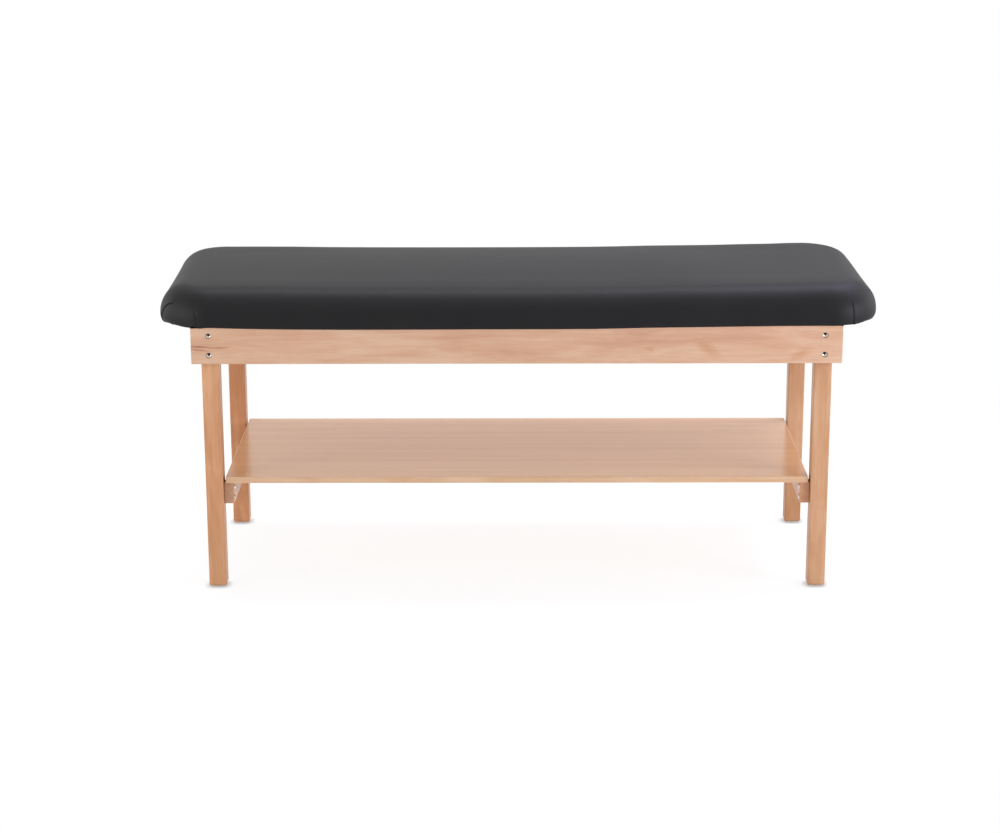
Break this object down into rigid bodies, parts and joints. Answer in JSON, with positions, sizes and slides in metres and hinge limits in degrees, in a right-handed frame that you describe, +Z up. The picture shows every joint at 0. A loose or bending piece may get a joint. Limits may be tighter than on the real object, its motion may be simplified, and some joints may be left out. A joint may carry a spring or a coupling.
{
  "type": "examination table",
  "caption": "Examination table with a padded vinyl top on a square-legged beech frame, bolted at the corners, and a full-length storage shelf on end stretchers.",
  "frame": {"origin": "on the floor under the middle of the table", "axes": "+X along the table to the right as seen from the front, +Y to the back, +Z up"},
  "size_m": [1.832, 0.646, 0.7971],
  "materials": {
    "vinyl": "smooth matt black upholstery vinyl",
    "foam": "open-cell upholstery foam",
    "plywood": "raw sanded plywood",
    "beech": "clear lacquered solid beech, satin",
    "shelf_laminate": "beech-look laminate, semi-gloss",
    "edge_band": "beech edge veneer, satin",
    "zinc_steel": "bright zinc plate",
    "nylon": "natural moulded nylon"
  },
  "bodies": {
    "root": {"pad_cover": "vinyl", "pad_foam": "foam", "pad_deck": "plywood", "apron_front": "beech", "apron_back": "beech", "apron_left": "beech", "apron_right": "beech", "cross_slat_left": "beech", "cross_slat_middle": "beech", "cross_slat_right": "beech", "deck_screw_left_front": "zinc_steel", "deck_screw_left_back": "zinc_steel", "deck_screw_middle_front": "zinc_steel", "deck_screw_middle_back": "zinc_steel", "deck_screw_right_front": "zinc_steel", "deck_screw_right_back": "zinc_steel", "shelf_board": "shelf_laminate", "shelf_band_front": "edge_band", "shelf_band_back": "edge_band", "shelf_band_left": "edge_band", "shelf_band_right": "edge_band", "stretcher_left": "beech", "leg_front_left": "beech", "foot_glide_front_left": "nylon", "apron_bolt_front_left_lower": "zinc_steel", "cap_nut_front_left_lower": "zinc_steel", "stretcher_bolt_front_left_lower": "zinc_steel", "apron_bolt_front_left_upper": "zinc_steel", "cap_nut_front_left_upper": "zinc_steel", "stretcher_bolt_front_left_upper": "zinc_steel", "shelf_screw_front_left": "zinc_steel", "leg_back_left": "beech", "foot_glide_back_left": "nylon", "apron_bolt_back_left_lower": "zinc_steel", "cap_nut_back_left_lower": "zinc_steel", "stretcher_bolt_back_left_lower": "zinc_steel", "apron_bolt_back_left_upper": "zinc_steel", "cap_nut_back_left_upper": "zinc_steel", "stretcher_bolt_back_left_upper": "zinc_steel", "shelf_screw_back_left": "zinc_steel", "stretcher_right": "beech", "leg_front_right": "beech", "foot_glide_front_right": "nylon", "apron_bolt_front_right_lower": "zinc_steel", "cap_nut_front_right_lower": "zinc_steel", "stretcher_bolt_front_right_lower": "zinc_steel", "apron_bolt_front_right_upper": "zinc_steel", "cap_nut_front_right_upper": "zinc_steel", "stretcher_bolt_front_right_upper": "zinc_steel", "shelf_screw_front_right": "zinc_steel", "leg_back_right": "beech", "foot_glide_back_right": "nylon", "apron_bolt_back_right_lower": "zinc_steel", "cap_nut_back_right_lower": "zinc_steel", "stretcher_bolt_back_right_lower": "zinc_steel", "apron_bolt_back_right_upper": "zinc_steel", "cap_nut_back_right_upper": "zinc_steel", "stretcher_bolt_back_right_upper": "zinc_steel", "shelf_screw_back_right": "zinc_steel"}
  },
  "joints": []
}
